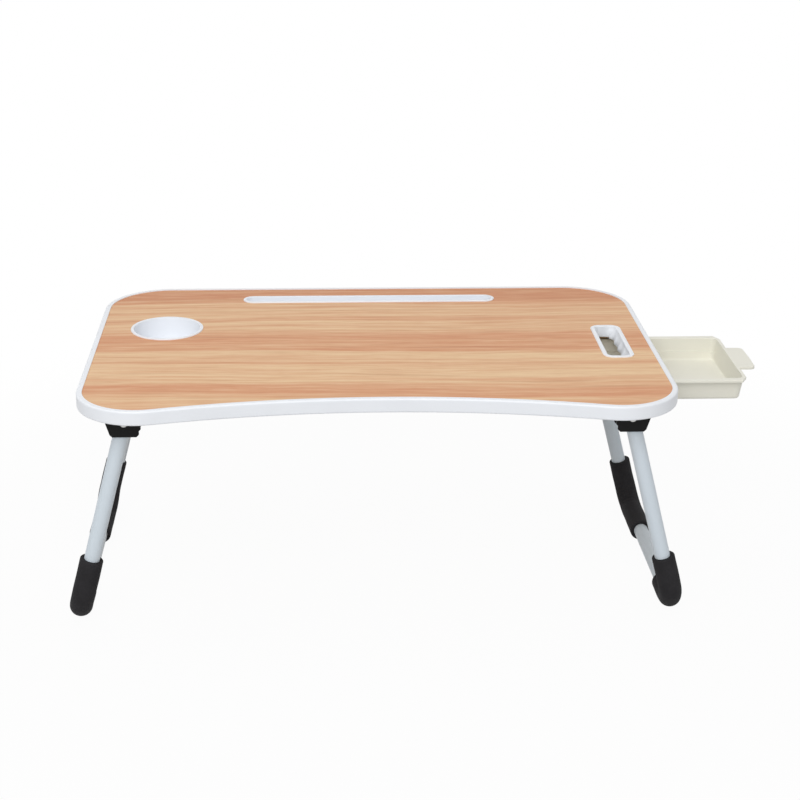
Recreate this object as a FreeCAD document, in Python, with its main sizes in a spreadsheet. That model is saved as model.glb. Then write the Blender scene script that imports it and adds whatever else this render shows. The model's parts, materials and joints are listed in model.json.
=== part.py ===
"""Folding laptop table: a wood-look top with a hollow front edge, folding tube legs and a side drawer.

Lengths are in millimetres and angles in degrees. X runs to the right, Y to the back and Z up from the floor.
The table stands open with its drawer pulled out, and the origin is on the floor under the middle of its box.
"""
import FreeCAD
import Part
import Sketcher
import math
import os
import re

# Points of a sketch's lines, arcs and circles, and ways across the table
START, END, CENTRE = range(1, 4)
ORIGIN = (-1, START)
LEFT, RIGHT = -1, 1
FRONT, REAR = -1, 1

# Driving sizes: name, value and meaning
DRIVING = (
    ("top_length", 600, "table top, left to right"),
    ("top_depth", 400, "table top, front to back"),
    ("table_height", 256, "floor to the upper face of the edge band"),
    ("back_corner_radius", 72, "outer corner radius at the back"),
    ("front_corner_radius", 63, "outer corner radius at the front"),
    ("front_hollow", 29, "depth of the hollow in the front edge"),
    ("core_thick", 12, "fibreboard core"),
    ("sheet_thick", 0.5, "laminate on the top and sheet on the underside"),
    ("band_web", 2.4, "edge band wall around the board"),
    ("band_lip_width", 5.8, "edge band lip, from its outer face inwards"),
    ("band_lip_thick", 0.9, "edge band lip over and under the board"),
    ("band_round", 2, "rounding of the edge band's outer edges"),
    ("board_fit", 0.2, "gap between the board and the edge band"),
    ("flange_thick", 1.2, "rim of an insert above the laminate"),
    ("flange_round", 0.6, "rounding of an insert's rim"),
    ("insert_wall", 1.8, "wall of the cup, the slot and the grip"),
    ("insert_gap", 0.3, "gap around an insert in the board"),
    ("cup_from_left", 75, "cup centre from the table's left edge"),
    ("cup_from_back", 146.5, "cup centre from the table's back edge"),
    ("cup_rim", 3.4, "cup rim around its mouth"),
    ("cup_mouth_radius", 36, "cup inside at the rim"),
    ("cup_taper", 3, "how much narrower the cup is at its floor"),
    ("cup_depth", 26, "cup inside, below the laminate"),
    ("cup_floor_round", 6, "rounding between the cup's wall and floor"),
    ("slot_length", 290, "tablet slot rim, end to end"),
    ("slot_width", 24.2, "tablet slot rim, front to back"),
    ("slot_rim", 3.6, "tablet slot rim around the trough"),
    ("slot_from_back", 45, "tablet slot centre from the table's back edge"),
    ("slot_depth", 12, "tablet slot inside, below the laminate"),
    ("slot_floor_round", 3, "rounding between the trough's wall and floor"),
    ("grip_width", 33.1, "hand grip rim, left to right"),
    ("grip_length", 106, "hand grip rim, front to back"),
    ("grip_rim", 4.8, "hand grip rim around its opening"),
    ("grip_round", 11, "hand grip rim's corner radius"),
    ("grip_from_right", 43.3, "hand grip centre from the table's right edge"),
    ("grip_y", -1.5, "hand grip centre from the table's middle"),
    ("grip_drop", 11.5, "hand grip sleeve below the laminate"),
    ("finger_rest", 6, "finger rest inside the grip's outer wall"),
    ("finger_rest_drop", 0.4, "finger rest's top below the laminate"),
    ("finger_slope_drop", 7.5, "lower end of the finger rest's slope below the laminate"),
    ("finger_pitch", 22, "from one finger hollow to the next"),
    ("finger_dip", 2.8, "depth of a finger hollow"),
    ("leg_from_front", 50, "front uprights from the table's front edge"),
    ("leg_from_back", 75, "rear uprights from the table's back edge"),
    ("pivot_from_side", 47.75, "leg pivot from the table's left or right edge"),
    ("tube_radius", 8, "leg tube, outside"),
    ("tube_wall", 1.2, "leg tube wall"),
    ("bend_radius", 34, "leg tube bend, to the middle of the tube"),
    ("tube_end", 5.8, "leg tube above its pivot"),
    ("sleeve_wall", 4, "foam sleeve wall"),
    ("sleeve_gap", 0.05, "gap between a sleeve and its tube"),
    ("sleeve_round", 1.2, "rounding of a sleeve's ends"),
    ("sole_flat", 0.8, "depth of the flat on a sleeve's underside"),
    ("rise_front_left", 68, "front left sleeve up its upright"),
    ("rise_front_right", 61.5, "front right sleeve up its upright"),
    ("rise_rear_left", 60.5, "rear left sleeve up its upright"),
    ("rise_rear_right", 53, "rear right sleeve up its upright"),
    ("arm_front_left", 58, "front left sleeve along the floor bar"),
    ("arm_front_right", 58, "front right sleeve along the floor bar"),
    ("arm_rear_left", 78, "rear left sleeve along the floor bar"),
    ("arm_rear_right", 89, "rear right sleeve along the floor bar"),
    ("ear_thick", 3.5, "ear of a hinge bracket"),
    ("ear_gap", 0.5, "gap between the tube and an ear"),
    ("swing_gap", 0.95, "gap around the tube's end as the leg folds"),
    ("plate_thick", 2, "hinge bracket base plate"),
    ("plate_edge", 2.5, "base plate around its screw heads"),
    ("plate_round", 5, "hinge bracket base plate corners"),
    ("ear_drop", 14.8, "ear below the pivot"),
    ("ear_inner", 14.3, "ear from the pivot towards the table's middle"),
    ("ear_step", 1.9, "step in the ear's inner edge"),
    ("ear_step_drop", 6.8, "step in the ear's inner edge below the pivot"),
    ("ear_outer_top", 21.5, "ear from the pivot outwards, at the base plate"),
    ("stop_wall", 1.8, "bracket's outer wall at its lower end"),
    ("ear_cut", 2.4, "cut corners of an ear"),
    ("ear_round", 0.7, "rounding of an ear's face"),
    ("stop_gap", 0.35, "gap between the open leg and the bracket's outer wall"),
    ("pin_radius", 2.5, "pivot pin"),
    ("pin_gap", 0.05, "running gap around a pivot pin in the tube"),
    ("pin_fit", 0.02, "gap around a pivot pin in its bracket"),
    ("pin_head_radius", 3.8, "pivot pin head"),
    ("pin_head_thick", 1.5, "pivot pin head"),
    ("pin_tail_radius", 3.3, "pivot pin formed end"),
    ("pin_tail_thick", 1.2, "pivot pin formed end"),
    ("pin_round", 0.9, "rounding of a pivot pin's ends"),
    ("screw_radius", 1.75, "screw shank"),
    ("screw_head_radius", 3.5, "screw head"),
    ("screw_head_thick", 1.8, "screw head"),
    ("screw_head_round", 0.9, "rounding of a screw head"),
    ("screw_bite", 8.5, "screw inside the board"),
    ("screw_fit", 0.05, "gap around a screw shank"),
    ("recess_length", 3.8, "cross recess, tip to tip"),
    ("recess_width", 0.9, "cross recess, width of one slot"),
    ("recess_depth", 1, "cross recess"),
    ("bracket_screw_x", 20, "bracket screw from the pivot, left to right"),
    ("screw_room", 1.5, "room between a screw head and an ear"),
    ("drawer_length", 240, "drawer rim without its tab"),
    ("drawer_depth", 25, "drawer, rim to underside"),
    ("drawer_from_front", 125, "drawer rim from the table's front edge"),
    ("drawer_from_back", 130, "drawer rim from the table's back edge"),
    ("drawer_drop", 20, "drawer rim below the edge band's upper face"),
    ("drawer_out", 90.2, "drawer rim pulled past the table's right edge"),
    ("drawer_rim", 6, "drawer rim outside its tub"),
    ("drawer_end_rim", 1.8, "drawer rim outside its tub at the pull tab"),
    ("drawer_rim_thick", 2.5, "drawer rim"),
    ("drawer_rim_round", 0.8, "rounding of the drawer rim's upper edges"),
    ("drawer_wall", 1.8, "drawer wall and floor"),
    ("drawer_corner", 9, "drawer tub's corner radius"),
    ("drawer_round", 4, "rounding under the drawer"),
    ("drawer_floor_round", 2, "rounding around the drawer's floor"),
    ("ledge_drop", 14, "ledges inside the drawer, below its rim"),
    ("ledge_width", 2.4, "ledges along the drawer's long sides"),
    ("rim_cut_length", 6, "cut outer corners of the drawer rim, left to right"),
    ("rim_cut_width", 11, "cut outer corners of the drawer rim, front to back"),
    ("tab_width", 63, "drawer pull tab, front to back"),
    ("tab_reach", 17.4, "drawer pull tab at its sides"),
    ("tab_bulge", 0.8, "drawer pull tab's bowed edge"),
    ("tab_thick", 3, "drawer pull tab"),
    ("tab_round", 6, "drawer pull tab's corners"),
    ("rail_inset", 8, "drawer rail's end from the table's right edge"),
    ("rail_wall", 2.4, "drawer rail web and mounting flange"),
    ("rail_flange", 14, "drawer rail's mounting flange"),
    ("rail_lip_width", 5, "drawer rail's lips over and under the drawer rim"),
    ("rail_lip_thick", 1.9, "drawer rail's lips"),
    ("rail_gap", 0.3, "gap between a lip and the drawer rim"),
    ("rail_side_gap", 0.5, "gap between a rail's web and the drawer rim"),
    ("rail_stop", 3, "block that stops the closed drawer"),
    ("rail_play", 1, "gap between the block and the closed drawer"),
    ("overrun", 2, "how far a cut runs past the material"),
)

# Driving angles: name, value and meaning
ANGLES = (
    ("splay_angle", 14.9, "outward lean of an open leg"),
    ("draft_angle", 9, "inward lean of the drawer's walls"),
)

# Sizes that follow from the driving ones
DERIVED = (
    ("board_inset", "band_web + board_fit", "board's edge inside the outer outline"),
    ("cup_x", "cup_from_left - top_length / 2", "cup centre from the table's middle"),
    ("cup_y", "top_depth / 2 - cup_from_back", "cup centre from the table's middle"),
    ("slot_y", "top_depth / 2 - slot_from_back", "tablet slot centre from the table's middle"),
    ("grip_x", "top_length / 2 - grip_from_right", "hand grip centre from the table's middle"),
    ("pivot_x", "top_length / 2 - pivot_from_side", "leg pivot from the table's middle"),
    ("leg_y", "(leg_from_front - leg_from_back) / 2", "middle of the legs from the table's middle"),
    ("upright_y", "(top_depth - leg_from_front - leg_from_back) / 2", "upright from the middle of its leg"),
    ("front_arc_radius",
     "((top_length / 2 - front_corner_radius) ^ 2 + front_hollow ^ 2) / (2 * front_hollow)"
     " - front_corner_radius", "hollow front edge"),
    ("laminate_top", "table_height - band_lip_thick", "laptop's rest face above the floor"),
    ("core_top", "laminate_top - sheet_thick", "core's upper face above the floor"),
    ("core_low", "core_top - core_thick", "core's lower face above the floor"),
    ("board_low", "core_low - sheet_thick", "underside of the board above the floor"),
    ("band_low", "board_low - band_lip_thick", "underside of the edge band above the floor"),
    ("band_height", "table_height - band_low", "edge band, top to bottom"),
    ("board_thick", "laminate_top - board_low", "laminate, core and underside sheet"),
    ("cup_flange_radius", "cup_mouth_radius + cup_rim", "outside of the cup's rim"),
    ("cup_floor_radius", "cup_mouth_radius - cup_taper", "cup inside at the floor"),
    ("cup_hole_radius", "cup_mouth_radius + insert_wall + insert_gap", "hole in the board"),
    ("slot_mouth_length", "slot_length - 2 * slot_rim", "trough at its mouth"),
    ("slot_mouth_width", "slot_width - 2 * slot_rim", "trough at its mouth"),
    ("grip_mouth_length", "grip_length - 2 * grip_rim", "hand opening"),
    ("grip_mouth_width", "grip_width - 2 * grip_rim", "hand opening"),
    ("grip_mouth_round", "grip_round - grip_rim", "hand opening's corner radius"),
    ("finger_face_x", "grip_mouth_width / 2 - finger_rest", "finger rest's face from the grip's middle"),
    ("finger_radius", "(finger_pitch ^ 2 / 4 + finger_dip ^ 2) / (2 * finger_dip)", "finger hollow"),
    ("sleeve_bore", "tube_radius + sleeve_gap", "inside of a foam sleeve"),
    ("sleeve_radius", "sleeve_bore + sleeve_wall", "outside of a foam sleeve"),
    ("sole_drop", "sleeve_radius - sole_flat", "floor below the middle of the floor bar"),
    ("tube_swing", "sqrt(tube_end ^ 2 + tube_radius ^ 2)", "tube's end corner from the pivot"),
    ("ear_top", "tube_swing + swing_gap", "base plate's lower face above the pivot"),
    ("stop_reach", "tube_swing + swing_gap", "inside of the bracket's outer wall from the pivot"),
    ("pivot_z", "board_low - plate_thick - ear_top", "leg pivot above the floor"),
    ("leg_length", "(pivot_z - sole_drop) / cos(splay_angle)", "pivot to the middle of the floor bar"),
    ("foot_reach", "pivot_x + leg_length * sin(splay_angle) + sleeve_radius",
     "foot's outer side from the table's middle"),
    ("stop_low", "(tube_radius + stop_gap) / cos(splay_angle) + ear_drop * tan(splay_angle)",
     "bracket's outer wall at the lower end of the ears"),
    ("ear_outer_low", "stop_low + stop_wall", "ear from the pivot outwards, at its lower end"),
    ("bracket_gap", "2 * (tube_radius + ear_gap)", "between the ears of a hinge bracket"),
    ("bracket_width", "bracket_gap + 2 * ear_thick", "hinge bracket over both ears"),
    ("bracket_screw_y", "bracket_width / 2 + screw_head_radius + screw_room",
     "bracket screw from the pivot, front to back"),
    ("plate_length", "2 * (bracket_screw_x + screw_head_radius + plate_edge)", "base plate, left to right"),
    ("plate_width", "2 * (bracket_screw_y + screw_head_radius + plate_edge)", "base plate, front to back"),
    ("drawer_width", "top_depth - drawer_from_front - drawer_from_back", "drawer rim, front to back"),
    ("drawer_y", "(drawer_from_front - drawer_from_back) / 2", "drawer's middle from the table's middle"),
    ("drawer_end_x", "top_length / 2 + drawer_out", "drawer rim's outer end"),
    ("tab_nose", "tab_bulge - tab_width * (sqrt(1 + (2 * tab_bulge / tab_width) ^ 2) - 1)",
     "drawer tab's bowed edge, after its rounding"),
    ("tab_end_x", "drawer_end_x + tab_reach + tab_nose", "drawer tab's outer edge"),
    ("rim_z", "table_height - drawer_drop", "drawer rim's upper face above the floor"),
    ("rail_start_x", "top_length / 2 - drawer_length - rail_stop - rail_play", "inner end of the rails"),
    ("rail_length", "top_length / 2 - rail_inset - rail_start_x", "drawer rail"),
    ("rail_web_y", "drawer_width / 2 + rail_side_gap", "rail web's inner face from the drawer's middle"),
    ("rail_screw_y", "(rail_wall + rail_flange) / 2", "rail screw from the web's inner face"),
    ("upper_lip_low", "rim_z + rail_gap - board_low", "underside of the rail's upper lip"),
    ("lower_lip_top", "rim_z - drawer_rim_thick - rail_gap - board_low", "top of the rail's lower lip"),
    ("tub_half", "drawer_width / 2 - drawer_rim", "drawer tub's side from its middle"),
    ("tub_length", "drawer_length - drawer_rim - drawer_end_rim", "drawer tub, left to right"),
    ("shift_x", "(foot_reach - tab_end_x) / 2", "table's middle from the origin"),
)

RAIL_SCREW_SHARES = (0.04, 0.5, 0.96)
FINGER_PITCH_SHARES = (-1.5, -0.5, 0.5, 1.5)
NEAR_SHARE = 0.01

doc = FreeCAD.newDocument("folding_laptop_table")
sheet = doc.addObject("Spreadsheet::Sheet", "Sizes")
rows = [(name, str(value), meaning) for name, value, meaning in DRIVING + ANGLES]
rows += [(name, "=" + formula, meaning) for name, formula, meaning in DERIVED]
for row, (name, content, meaning) in enumerate(rows, start=1):
    sheet.set(f"A{row}", meaning)
    sheet.set(f"B{row}", content)
    sheet.setAlias(f"B{row}", name)
doc.recompute()
NAMES = {name for name, content, meaning in rows}


def bind(words):
    """Turn a formula in plain size names into one that reads the sheet."""
    return re.sub(r"[a-z_]+", lambda m: "Sizes." + m[0] if m[0] in NAMES else m[0], words)


def number(words):
    """Value of a formula in plain size names."""
    return float(sheet.evalExpression(words))


def new_body(label, x="0", y="0", z="0", rotation=None):
    """Body at a place given from the table's middle and the floor."""
    body = doc.addObject("PartDesign::Body", label)
    body.Label = label
    if rotation:
        body.Placement.Rotation = rotation
    body.setExpression("Placement.Base.x", bind(f"shift_x + {x}"))
    body.setExpression("Placement.Base.y", bind(y))
    body.setExpression("Placement.Base.z", bind(z))
    return body


def origin_feature(body, role):
    """Plane or axis of a body's own origin."""
    return next(item for item in body.Origin.OriginFeatures if item.Role == role)


def sketch_on(body, plane, height=None):
    """Sketch on a plane of the body's origin, moved along the plane's normal."""
    sketch = body.newObject("Sketcher::SketchObject", "Sketch")
    sketch.AttachmentSupport = [(origin_feature(body, plane), "")]
    sketch.MapMode = "FlatFace"
    if height:
        sketch.setExpression("AttachmentOffset.Base.z", bind(height))
    return sketch


def dimension(sketch, words, *constraint):
    """Constraint whose value follows a formula."""
    index = sketch.addConstraint(Sketcher.Constraint(*constraint, number(words)))
    sketch.setExpression(f"Constraints[{index}]", bind(words))


def pin_point(sketch, geometry, point, x, y):
    """Hold a point of the sketch at a place given by two formulas."""
    dimension(sketch, x, "DistanceX", *ORIGIN, geometry, point)
    dimension(sketch, y, "DistanceY", *ORIGIN, geometry, point)


def circle(sketch, x, y, radius):
    """Circle with its centre and radius given by formulas."""
    middle = FreeCAD.Vector(number(x), number(y), 0)
    ring = sketch.addGeometry(Part.Circle(middle, FreeCAD.Vector(0, 0, 1), number(radius)), False)
    dimension(sketch, radius, "Radius", ring)
    pin_point(sketch, ring, CENTRE, x, y)


def arc(sketch, middle, radius, first, last):
    """Anticlockwise arc between two angles in radians."""
    ring = Part.Circle(middle, FreeCAD.Vector(0, 0, 1), radius)
    while last < first:
        last += 2 * math.pi
    return sketch.addGeometry(Part.ArcOfCircle(ring, first, last), False)


def heading(vector):
    """Angle of a flat vector."""
    return math.atan2(vector.y, vector.x)


def outline(sketch, corners, closed=True):
    """Straight sides from corner to corner, each (x, y) or (x, y, radius) in formulas."""
    spots = [FreeCAD.Vector(number(corner[0]), number(corner[1]), 0) for corner in corners]
    count = len(corners)
    arrive = list(spots)
    leave = list(spots)
    middles = {}
    for i, corner in enumerate(corners):
        if len(corner) < 3:
            continue
        back = (spots[i - 1] - spots[i]).normalize()
        ahead = (spots[(i + 1) % count] - spots[i]).normalize()
        half_angle = back.getAngle(ahead) / 2
        radius = number(corner[2])
        arrive[i] = spots[i] + back * (radius / math.tan(half_angle))
        leave[i] = spots[i] + ahead * (radius / math.tan(half_angle))
        middles[i] = spots[i] + (back + ahead).normalize() * (radius / math.sin(half_angle))
    sides = []
    for i in range(count if closed else count - 1):
        line = Part.LineSegment(leave[i], arrive[(i + 1) % count])
        sides.append(sketch.addGeometry(line, False))
    for i, corner in enumerate(corners):
        if not closed and i == 0:
            pin_point(sketch, sides[0], START, corner[0], corner[1])
            continue
        if not closed and i == count - 1:
            pin_point(sketch, sides[-1], END, corner[0], corner[1])
            continue
        before, after = sides[i - 1], sides[i]
        if i not in middles:
            sketch.addConstraint(Sketcher.Constraint("Coincident", before, END, after, START))
            pin_point(sketch, after, START, corner[0], corner[1])
            continue
        first = heading(arrive[i] - middles[i])
        last = heading(leave[i] - middles[i])
        left_turn = (spots[i] - spots[i - 1]).cross(spots[(i + 1) % count] - spots[i]).z > 0
        entry, way_out = (START, END) if left_turn else (END, START)
        if not left_turn:
            first, last = last, first
        bend = arc(sketch, middles[i], number(corner[2]), first, last)
        sketch.addConstraint(Sketcher.Constraint("Tangent", before, END, bend, entry))
        sketch.addConstraint(Sketcher.Constraint("Tangent", bend, way_out, after, START))
        dimension(sketch, corner[2], "Radius", bend)
        tip = sketch.addGeometry(Part.Point(spots[i]), True)
        sketch.addConstraint(Sketcher.Constraint("PointOnObject", tip, START, before))
        sketch.addConstraint(Sketcher.Constraint("PointOnObject", tip, START, after))
        pin_point(sketch, tip, START, corner[0], corner[1])


def rectangle(sketch, x, y, length, width, *radius):
    """Rectangle about a centre, with rounded corners if a radius is given."""
    turns = ((LEFT, FRONT), (RIGHT, FRONT), (RIGHT, REAR), (LEFT, REAR))
    outline(sketch, [
        (f"{x} + {across} * ({length}) / 2", f"{y} + {along} * ({width}) / 2", *radius)
        for across, along in turns])


def stadium(sketch, x, y, length, width):
    """Slot outline along X: two straight sides and two half circles."""
    reach = f"(({length}) - ({width})) / 2"
    radius = number(f"({width}) / 2")
    right = FreeCAD.Vector(number(f"{x} + {reach}"), number(y), 0)
    left = FreeCAD.Vector(number(f"{x} - {reach}"), number(y), 0)
    up = FreeCAD.Vector(0, radius, 0)
    low_side = sketch.addGeometry(Part.LineSegment(left - up, right - up), False)
    right_end = arc(sketch, right, radius, -math.pi / 2, math.pi / 2)
    high_side = sketch.addGeometry(Part.LineSegment(right + up, left + up), False)
    left_end = arc(sketch, left, radius, math.pi / 2, 3 * math.pi / 2)
    ring = (low_side, right_end, high_side, left_end)
    for i, piece in enumerate(ring):
        following = ring[(i + 1) % len(ring)]
        sketch.addConstraint(Sketcher.Constraint("Tangent", piece, END, following, START))
    sketch.addConstraint(Sketcher.Constraint("Horizontal", low_side))
    sketch.addConstraint(Sketcher.Constraint("Horizontal", high_side))
    dimension(sketch, f"({width}) / 2", "Radius", right_end)
    pin_point(sketch, right_end, CENTRE, f"{x} + {reach}", y)
    dimension(sketch, f"{x} - {reach}", "DistanceX", *ORIGIN, left_end, CENTRE)


def table_outline(sketch, inset):
    """Outline of the table top moved inwards: straight back and sides, round corners, hollow front edge."""
    side = number(f"top_length / 2 - {inset}")
    back = number(f"top_depth / 2 - {inset}")
    rear_radius = number(f"back_corner_radius - {inset}")
    front_radius = number(f"front_corner_radius - {inset}")
    hollow_radius = number(f"front_arc_radius + {inset}")
    rear_right = FreeCAD.Vector(side - rear_radius, back - rear_radius, 0)
    rear_left = FreeCAD.Vector(-rear_right.x, rear_right.y, 0)
    front_right = FreeCAD.Vector(side - front_radius, number("front_corner_radius - top_depth / 2"), 0)
    front_left = FreeCAD.Vector(-front_right.x, front_right.y, 0)
    hollow = FreeCAD.Vector(0, number("front_hollow - front_arc_radius - top_depth / 2"), 0)
    to_right = heading(front_right - hollow)
    quarter = math.pi / 2
    right_side = sketch.addGeometry(Part.LineSegment(
        FreeCAD.Vector(side, front_right.y, 0), FreeCAD.Vector(side, rear_right.y, 0)), False)
    rear_right_bend = arc(sketch, rear_right, rear_radius, 0, quarter)
    back_side = sketch.addGeometry(Part.LineSegment(
        FreeCAD.Vector(rear_right.x, back, 0), FreeCAD.Vector(rear_left.x, back, 0)), False)
    rear_left_bend = arc(sketch, rear_left, rear_radius, quarter, 2 * quarter)
    left_side = sketch.addGeometry(Part.LineSegment(
        FreeCAD.Vector(-side, rear_left.y, 0), FreeCAD.Vector(-side, front_left.y, 0)), False)
    front_left_bend = arc(sketch, front_left, front_radius, math.pi, 2 * math.pi - to_right)
    hollow_bend = arc(sketch, hollow, hollow_radius, to_right, math.pi - to_right)
    front_right_bend = arc(sketch, front_right, front_radius, math.pi + to_right, 2 * math.pi)
    joins = (
        (right_side, END, rear_right_bend, START),
        (rear_right_bend, END, back_side, START),
        (back_side, END, rear_left_bend, START),
        (rear_left_bend, END, left_side, START),
        (left_side, END, front_left_bend, START),
        (front_left_bend, END, hollow_bend, END),
        (hollow_bend, START, front_right_bend, START),
        (front_right_bend, END, right_side, START),
    )
    for join in joins:
        sketch.addConstraint(Sketcher.Constraint("Tangent", *join))
    sketch.addConstraint(Sketcher.Constraint("Vertical", right_side))
    sketch.addConstraint(Sketcher.Constraint("Vertical", left_side))
    sketch.addConstraint(Sketcher.Constraint("Horizontal", back_side))
    for bend in (rear_right_bend, rear_left_bend):
        dimension(sketch, f"back_corner_radius - {inset}", "Radius", bend)
    for bend in (front_right_bend, front_left_bend):
        dimension(sketch, f"front_corner_radius - {inset}", "Radius", bend)
        dimension(sketch, "front_corner_radius - top_depth / 2", "DistanceY", *ORIGIN, bend, CENTRE)
    dimension(sketch, f"front_arc_radius + {inset}", "Radius", hollow_bend)
    dimension(sketch, f"top_depth / 2 - {inset}", "DistanceY", *ORIGIN, back_side, START)
    dimension(sketch, f"top_length / 2 - {inset}", "DistanceX", *ORIGIN, right_side, START)
    dimension(sketch, f"-(top_length / 2 - {inset})", "DistanceX", *ORIGIN, left_side, START)


def pad(body, sketch, length, both=False, down=False, taper=None):
    """Add the sketch's area along its normal, against it, or to both sides."""
    feature = body.newObject("PartDesign::Pad", "Pad")
    feature.Profile = sketch
    feature.setExpression("Length", bind(length))
    feature.Midplane = both
    feature.Reversed = down
    if taper:
        feature.setExpression("TaperAngle", bind(taper))
    return feature


def cut(body, sketch, length=None, up=False, both=False, taper=None):
    """Remove the sketch's area against its normal, along it, or right through."""
    feature = body.newObject("PartDesign::Pocket", "Pocket")
    feature.Profile = sketch
    if length:
        feature.setExpression("Length", bind(length))
        feature.Midplane = both
    else:
        feature.Type = "ThroughAll"
        feature.Midplane = True
    feature.Reversed = up
    if taper:
        feature.setExpression("TaperAngle", bind(taper))
    return feature


def round_edges(body, radius, chosen):
    """Round the edges of the body's last feature that pass a test."""
    doc.recompute()
    last = body.Tip
    names = [f"Edge{i}" for i, edge in enumerate(last.Shape.Edges, start=1) if chosen(edge)]
    if not names:
        raise ValueError(f"{body.Label} has no edge to round")
    fillet = body.newObject("PartDesign::Fillet", "Fillet")
    fillet.Base = (last, names)
    fillet.setExpression("Radius", bind(radius))


def near(first, second):
    """Whether two lengths are the same, give or take a small share of the thinnest sheet."""
    return abs(first - second) < NEAR_SHARE * number("sheet_thick")


def lies_at_height(edge, height):
    """Whether an edge lies flat at a height in its body."""
    return near(edge.BoundBox.ZMin, height) and near(edge.BoundBox.ZMax, height)


def revolve(body, sketch, axis):
    """Full turn of the sketch about one of its own axes."""
    feature = body.newObject("PartDesign::Revolution", "Revolution")
    feature.Profile = sketch
    feature.ReferenceAxis = (sketch, [axis])
    return feature


def pipe(body, path, profile):
    """Carry a profile along a path."""
    feature = body.newObject("PartDesign::AdditivePipe", "Pipe")
    feature.Profile = profile
    feature.Spine = path
    return feature


def bracket_places():
    """Side and end of the table for each of the four hinge brackets."""
    return [(side, end) for side in (LEFT, RIGHT) for end in (FRONT, REAR)]


def bracket_screw_spots():
    """Places of all bracket screws from the table's middle."""
    spots = []
    for side, end in bracket_places():
        for across in (LEFT, RIGHT):
            for along in (FRONT, REAR):
                x = f"{side} * pivot_x + {across} * bracket_screw_x"
                y = f"leg_y + {end} * upright_y + {along} * bracket_screw_y"
                spots.append((x, y))
    return spots


def rail_screw_spots():
    """Places of all rail screws from the table's middle."""
    return [(f"rail_start_x + {share} * rail_length", f"drawer_y + {end} * (rail_web_y + rail_screw_y)")
            for end in (FRONT, REAR) for share in RAIL_SCREW_SHARES]


def board_openings(sketch):
    """Holes in the board for the cup, the tablet slot and the hand grip."""
    play = "2 * (insert_wall + insert_gap)"
    circle(sketch, "cup_x", "cup_y", "cup_hole_radius")
    stadium(sketch, "0", "slot_y", f"slot_mouth_length + {play}", f"slot_mouth_width + {play}")
    rectangle(sketch, "grip_x", "grip_y", f"grip_mouth_width + {play}", f"grip_mouth_length + {play}",
              "grip_mouth_round + insert_wall + insert_gap")


def board_layer(label, low, thick, screw_depth=None):
    """One layer of the board, with its openings and, from below, its screw holes."""
    body = new_body(label, z=low)
    area = sketch_on(body, "XY_Plane")
    table_outline(area, "board_inset")
    pad(body, area, thick)
    holes = sketch_on(body, "XY_Plane")
    board_openings(holes)
    cut(body, holes)
    if screw_depth:
        screws = sketch_on(body, "XY_Plane")
        for x, y in bracket_screw_spots() + rail_screw_spots():
            circle(screws, x, y, "screw_radius + screw_fit")
        cut(body, screws, screw_depth, up=True)
    return body


def edge_band():
    """Channel of plastic around the board's edge, with a lip above and below."""
    body = new_body("edge_band", z="band_low")
    outside = sketch_on(body, "XY_Plane")
    table_outline(outside, "0")
    pad(body, outside, "band_height")
    round_edges(body, "band_round", lambda edge: lies_at_height(edge, 0)
                or lies_at_height(edge, number("band_height")))
    inside = sketch_on(body, "XY_Plane")
    table_outline(inside, "band_lip_width")
    cut(body, inside)
    groove = sketch_on(body, "XY_Plane", "band_lip_thick")
    table_outline(groove, "band_web")
    cut(body, groove, "board_thick", up=True)
    return body


def cup_holder():
    """Turned cup with a rim that rests on the laminate."""
    body = new_body("cup_holder", "cup_x", "cup_y", "laminate_top")
    section = sketch_on(body, "XZ_Plane")
    outline(section, [
        ("0", "-cup_depth"),
        ("cup_floor_radius", "-cup_depth", "cup_floor_round"),
        ("cup_mouth_radius", "flange_thick", "flange_round"),
        ("cup_flange_radius", "flange_thick", "flange_round"),
        ("cup_flange_radius", "0"),
        ("cup_mouth_radius + insert_wall", "0"),
        ("cup_floor_radius + insert_wall", "-cup_depth - insert_wall", "cup_floor_round + insert_wall"),
        ("0", "-cup_depth - insert_wall"),
    ])
    revolve(body, section, "V_Axis")
    return body


def tablet_slot():
    """Closed trough with a rim that rests on the laminate."""
    body = new_body("tablet_slot", "0", "slot_y", "laminate_top")
    rim = sketch_on(body, "XY_Plane")
    stadium(rim, "0", "0", "slot_length", "slot_width")
    pad(body, rim, "flange_thick")
    trough = sketch_on(body, "XY_Plane")
    stadium(trough, "0", "0", "slot_mouth_length + 2 * insert_wall", "slot_mouth_width + 2 * insert_wall")
    pad(body, trough, "slot_depth + insert_wall", down=True)
    mouth = sketch_on(body, "XY_Plane", "flange_thick")
    stadium(mouth, "0", "0", "slot_mouth_length", "slot_mouth_width")
    cut(body, mouth, "flange_thick + slot_depth")
    floor = number("-slot_depth")
    top = number("flange_thick")
    round_edges(body, "slot_floor_round", lambda edge: lies_at_height(edge, floor))
    round_edges(body, "flange_round", lambda edge: lies_at_height(edge, top))
    return body


def finger_rest(body):
    """Bar that slopes in from the grip's outer wall, with a hollow for each finger."""
    wall_face = "grip_mouth_width / 2"
    wall_middle = f"{wall_face} + insert_wall / 2"
    bar = sketch_on(body, "XZ_Plane")
    outline(bar, [
        (wall_middle, "-finger_rest_drop"),
        (wall_face, "-finger_rest_drop"),
        ("finger_face_x", "-finger_slope_drop"),
        ("finger_face_x", "-grip_drop"),
        (wall_middle, "-grip_drop"),
    ])
    pad(body, bar, f"{len(FINGER_PITCH_SHARES)} * finger_pitch", both=True)
    hollow_x = "finger_face_x + finger_dip - finger_radius"
    for share in FINGER_PITCH_SHARES:
        hollow = sketch_on(body, "XY_Plane")
        circle(hollow, hollow_x, f"{share} * finger_pitch", "finger_radius")
        cut(body, hollow)


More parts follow.
